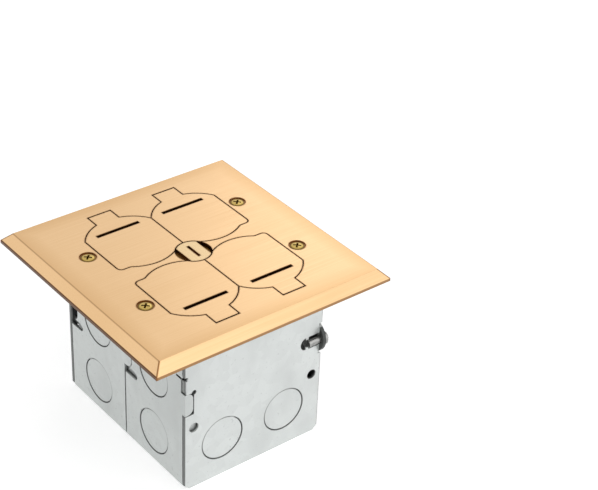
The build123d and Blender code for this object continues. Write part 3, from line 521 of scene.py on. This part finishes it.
def galvanised(name, tint, shade, knockouts=(), cut_edge=False):
    """Zinc coating: faint spangle in patches, fine grain, a few darker smears. Painted shade
    darkens what lies below the outer faces, the knockouts' edges, the clamped ear and, where
    cut_edge is set, the sheared side edges, which are also bare cut steel."""
    surface = Surface(name, tint, 0.72, 0.46)
    spangle = surface.cells(ZINC_SPANGLE)
    smear = surface.noise(ZINC_SMEAR, SMEAR_STRETCH, 3.0)
    specks = surface.noise(ZINC_SPECKS, detail=1.0)
    low = toned(tint, 0.87)
    base = surface.ramp(spangle, [(0.0, toned(tint, 0.955)), (1.0, toned(tint, 1.03))])
    base = surface.mixed(base, low, surface.ranged(smear, 0.0, SMEAR_SHADE, *SMEAR_BAND))
    base = surface.mixed(base, low, surface.ranged(specks, 0.0, 1.0, *SPECK_BAND))

    along = surface.away(0)
    across = surface.away(1)
    depth = surface.math(
        "MINIMUM",
        surface.math("SUBTRACT", BOX_HALF_X, along),
        surface.math("SUBTRACT", BOX_HALF_Y, across),
    )
    # Painted shade on what lies below the outer faces: recesses, gaps, slots and inner faces, but
    # not near the bottom
    sunk = surface.ranged(depth, 0.0, SUNK_SHADE, *SUNK_BLEND)
    above = surface.math("GREATER_THAN", surface.axis(2), BOTTOM_CLEAR)
    base = surface.mixed(base, shade, surface.product(sunk, above))
    # Painted shade on the clamped ear, which stands out in front of the front panel
    beyond = [BOX_HALF_Y + distance for distance in EAR_BLEND]
    ear = surface.ranged(across, 0.0, EAR_SHADE, *beyond)
    base = surface.mixed(base, shade, ear)
    # Painted shade along each knockout's ring gap, widening its dark line
    for index, offset, height in knockouts:
        edge = surface.ring(index, offset, height, depth)
        base = surface.mixed(base, shade, surface.product(edge, RING_SHADE))
    # The sheared side edges are bare cut steel, darkened further by painted shade
    if cut_edge:
        short = [BOX_HALF_X - distance for distance in CUT_EDGE_BLEND]
        sheared = surface.ranged(along, 0.0, CUT_EDGE_SHADE, *short)
        base = surface.mixed(base, shade, sheared)
    surface.colour(base)

    surface.roughness(surface.ranged(spangle, *ZINC_ROUGHNESS))
    grain = surface.noise(ZINC_GRAIN, detail=3.0)
    surface.bump(ZINC_CORNER, (smear, SMEAR_RELIEF), (grain, ZINC_RELIEF))
    return surface.material


def plated(name, colour, roughness, metallic=1.0):
    """Small turned or stamped pieces: even plating with fine tool marks."""
    surface = Surface(name, colour, metallic, roughness)
    marks = surface.noise(TOOL_MARKS, MARK_STRETCH)
    patina = surface.noise(PATINA)
    surface.colour(surface.ramp(patina, [(0.35, toned(colour, 0.8)), (0.65, colour)]))
    surface.roughness(surface.ranged(marks, roughness * 0.8, roughness * 1.25, *ROUGHNESS_BAND))
    surface.bump(PLATED_CORNER, (marks, MARK_RELIEF))
    return surface.material


def screw_brass(name, bright, shaded):
    """Cover screw heads: bright in the middle, with painted shade at the rim, where the
    countersink casts its shadow, and in the driver recess.
    """
    surface = Surface(name, bright, 1.0, 0.28)
    from_x = surface.math("SUBTRACT", surface.away(0), SCREW_X)
    from_y = surface.math("SUBTRACT", surface.away(1), GANG_Y)
    reach = surface.length(from_x, from_y)
    # Painted shade on the head's rim, where the countersink's shadow falls
    base = surface.mixed(bright, shaded, surface.ranged(reach, 0.0, HEAD_RIM_SHADE, *HEAD_RIM_SHADE_RADII))
    # Painted shade in the driver recess
    below = [PLATE_TOP - depth for depth in RECESS_BLEND]
    recess = surface.ranged(surface.axis(2), RECESS_SHADE, 0.0, *below)
    middle = surface.math("LESS_THAN", reach, HEAD_RIM_SHADE_RADII[0])
    base = surface.mixed(base, shaded, surface.product(recess, middle))
    # The tool marks are real and also blend towards the shaded colour
    marks = surface.noise(TOOL_MARKS, MARK_STRETCH)
    dulled = surface.ranged(marks, 0.0, HEAD_MARK_SHADE, *HEAD_MARK_BAND)
    surface.colour(surface.mixed(base, shaded, dulled))
    surface.roughness(surface.ranged(marks, *HEAD_ROUGHNESS, *ROUGHNESS_BAND))
    surface.bump(PLATED_CORNER, (marks, MARK_RELIEF))
    return surface.material


def moulded(name, colour, roughness):
    """Moulded plastic with a fine spark-eroded grain."""
    surface = Surface(name, colour, 0.0, roughness)
    grain = surface.noise(PLASTIC_GRAIN)
    tone = surface.noise(PLASTIC_TONE)
    surface.colour(surface.ramp(tone, [(0.3, toned(colour, 0.88)), (0.7, colour)]))
    surface.roughness(surface.ranged(grain, roughness * 0.85, roughness * 1.15, *ROUGHNESS_BAND))
    surface.bump(PLASTIC_CORNER, (grain, PLASTIC_RELIEF))
    return surface.material


def dress(material, *prefixes):
    found = [obj for name, obj in nodes.items() if name.startswith(prefixes)]
    if not found:
        raise ValueError(f"no node starts with {prefixes}")
    for obj in found:
        for slot in obj.material_slots:
            slot.link = "OBJECT"
            slot.material = material


def dress_all():
    plate_brass = satin_brass("plate_brass", BRASS_LIGHT, BRASS_DARK, BRUSHED_X)
    dress(plate_brass, "cover_plate", "flip_lid")
    dress(satin_brass("dial_brass", DIAL_LIGHT, DIAL_DARK, BRUSHED_Y), "centre_dial")
    dress(screw_brass("screw_brass", SCREW_BRIGHT, SCREW_SHADE), "cover_screws")
    in_walls = [(1, GANG_Y, height) for height in WALL_KNOCKOUT_Z]
    in_panels = [(0, PANEL_KNOCKOUT_X, PANEL_KNOCKOUT_Z)]
    # The gang bodies' zinc is darkened as painted shade
    dress(galvanised("galvanised_body_shaded", SHADED_BODY_ZINC, PAINTED_SHADE_GREY, in_walls), "gang_body")
    panel_zinc = galvanised("galvanised_panel", PANEL_ZINC, PAINTED_SHADE_GREY, in_panels, cut_edge=True)
    dress(panel_zinc, "side_panel")
    # The gang screws' zinc is darkened as painted shade
    dress(plated("zinc_shaded_screws", SHADED_SCREW_ZINC, 0.30), "gang_screws")
    dress(plated("zinc_plated", BRIGHT_ZINC, 0.28),
          "dial_bridge", "dial_thrust", "dial_spring", "dial_retaining", "dial_stop",
          "receptacle_strap", "assembly_screws")
    dress(plated("zinc_dull", DULL_ZINC, 0.42), "hinge_keeper", "hinge_pin")
    dress(plated("contact_brass", CONTACT_BRASS, 0.30),
          "hot_contact", "neutral_contact", "earth_contact", "strap_rivet", "hot_terminal")
    dress(plated("terminal_silver", TERMINAL_SILVER, 0.25), "neutral_terminal")
    dress(plated("earth_green", EARTH_GREEN, 0.35, 0.6), "earth_terminal", "box_earth")
    dress(moulded("rubber_black", RUBBER_BLACK, 0.75), "plate_gasket", "lid_seal")
    dress(moulded("outlet_brown", OUTLET_BROWN, 0.35), "receptacle_face")
    dress(moulded("housing_black", HOUSING_BLACK, 0.5), "receptacle_housing")


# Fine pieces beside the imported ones

SHELF_GAP = 0.05 * MM
SHELF_DEPTHS = (2.1 * MM, 1.5 * MM)
SHELF_EDGE = 0.08 * MM
SHELF_STEPS = 14
NOSE_STEP = 15
TAB_GAP = 0.15 * MM
TAB_EDGE = 0.15 * MM
SEAM_SLOT_Z = 40.1 * MM
HOOK_Y = (-9.7 * MM, 1.0 * MM)
HOOK_HALF = 2.1 * MM
HOOK_THICKNESS = 1.2 * MM
FLANGE_REACH = 5.6 * MM
FLANGE_Z = (8.0 * MM, 41.0 * MM)
FLANGE_THICKNESS = 0.9 * MM
NOTCH_TAB_Y = (-46.3 * MM, -44.55 * MM)
NOTCH_TAB_Z = (54.4 * MM, 61.0 * MM)
NOTCH_TAB_INSET = 0.45 * MM
NOTCH_TAB_EDGE = 0.3 * MM


def plate_piece(name, outline, axis, low, high, body, material, edge):
    """A flat piece with broken edges: an outline across an axis, from low to high along it."""
    count = len(outline)
    corners = []
    for level in (low, high):
        for first, second in outline:
            corner = [first, second]
            corner.insert(axis, level)
            corners.append(corner)
    sides = [(i, (i + 1) % count, (i + 1) % count + count, i + count) for i in range(count)]
    ends = [tuple(range(count)), tuple(range(count, 2 * count))]
    mesh = bpy.data.meshes.new(name)
    mesh.from_pydata(corners, [], ends + sides)
    shape = bmesh.new()
    shape.from_mesh(mesh)
    bmesh.ops.recalc_face_normals(shape, faces=shape.faces)
    shape.to_mesh(mesh)
    shape.free()
    mesh.materials.append(material)
    piece = bpy.data.objects.new(name, mesh)
    scene.collection.objects.link(piece)
    bevel = piece.modifiers.new("edge", "BEVEL")
    bevel.width = edge
    bevel.segments = 2
    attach(piece, body)


def rectangle(first, second):
    """An outline from the low and high ends along two axes."""
    (left, right), (bottom, top) = first, second
    return [(left, bottom), (right, bottom), (right, top), (left, top)]


def rounded_strip(low, high, middle, half):
    """An outline from low to high with a half round at its low end."""
    turn = [math.radians(degrees) for degrees in range(90, 271, NOSE_STEP)]
    centre = low + half
    nose = [(centre + half * math.cos(angle), middle + half * math.sin(angle)) for angle in turn]
    return nose + [(high, middle - half), (high, middle + half)]


def dial_shelves():
    """The two lower shelves beside the dial's bar, which turn with it. Their dark brass is painted
    shade for the recess.
    """
    material = plated("dial_shelf_shaded_brass", SHADED_SHELF_BRASS, 0.38)
    radius = DIAL_R - SHELF_GAP
    half_angle = math.acos(DIAL_HALF_WIDTH / radius)
    arc = [half_angle * (2 * i / SHELF_STEPS - 1) for i in range(SHELF_STEPS + 1)]
    low, high = (PLATE_TOP - depth for depth in SHELF_DEPTHS)
    for name, side in (("left", -1), ("right", 1)):
        outline = [(side * radius * math.cos(angle), radius * math.sin(angle)) for angle in arc]
        plate_piece(f"dial_shelf_{name}", outline, 2, low, high, "dial", material,
                    SHELF_EDGE)


def steel_tabs():
    """Inner tabs of the ganged steel: behind the seam's slot, behind the left nail hole and in the
    notch at the front left corner. The notch's tab is darker zinc, painted shade for the notch."""
    material = galvanised("galvanised_tab", TAB_ZINC, TAB_ZINC)
    # Painted shade: the notch tab's zinc is darker
    shaded = galvanised("galvanised_tab_shaded", SHADED_TAB_ZINC, SHADED_TAB_ZINC)
    wall = -BOX_HALF_X + SHEET
    behind_wall = wall + TAB_GAP
    behind_front = -BOX_HALF_Y + SHEET + TAB_GAP
    seam = rounded_strip(*HOOK_Y, SEAM_SLOT_Z, HOOK_HALF)
    plate_piece("seam_hook", seam, 0, behind_wall, behind_wall + HOOK_THICKNESS,
                "box", material, TAB_EDGE)
    flange = rectangle((behind_wall, wall + FLANGE_REACH), FLANGE_Z)
    plate_piece("corner_flange", flange, 1, behind_front, behind_front + FLANGE_THICKNESS,
                "box", material, TAB_EDGE)
    notch = rectangle(NOTCH_TAB_Y, NOTCH_TAB_Z)
    plate_piece("notch_tab", notch, 0, -BOX_HALF_X + NOTCH_TAB_INSET, wall - TAB_GAP,
                "box", shaded, NOTCH_TAB_EDGE)


make_camera()
make_world()
make_floor()
for lamp in LAMPS:
    make_lamp(*lamp)
dress_all()
dial_shelves()
steel_tabs()
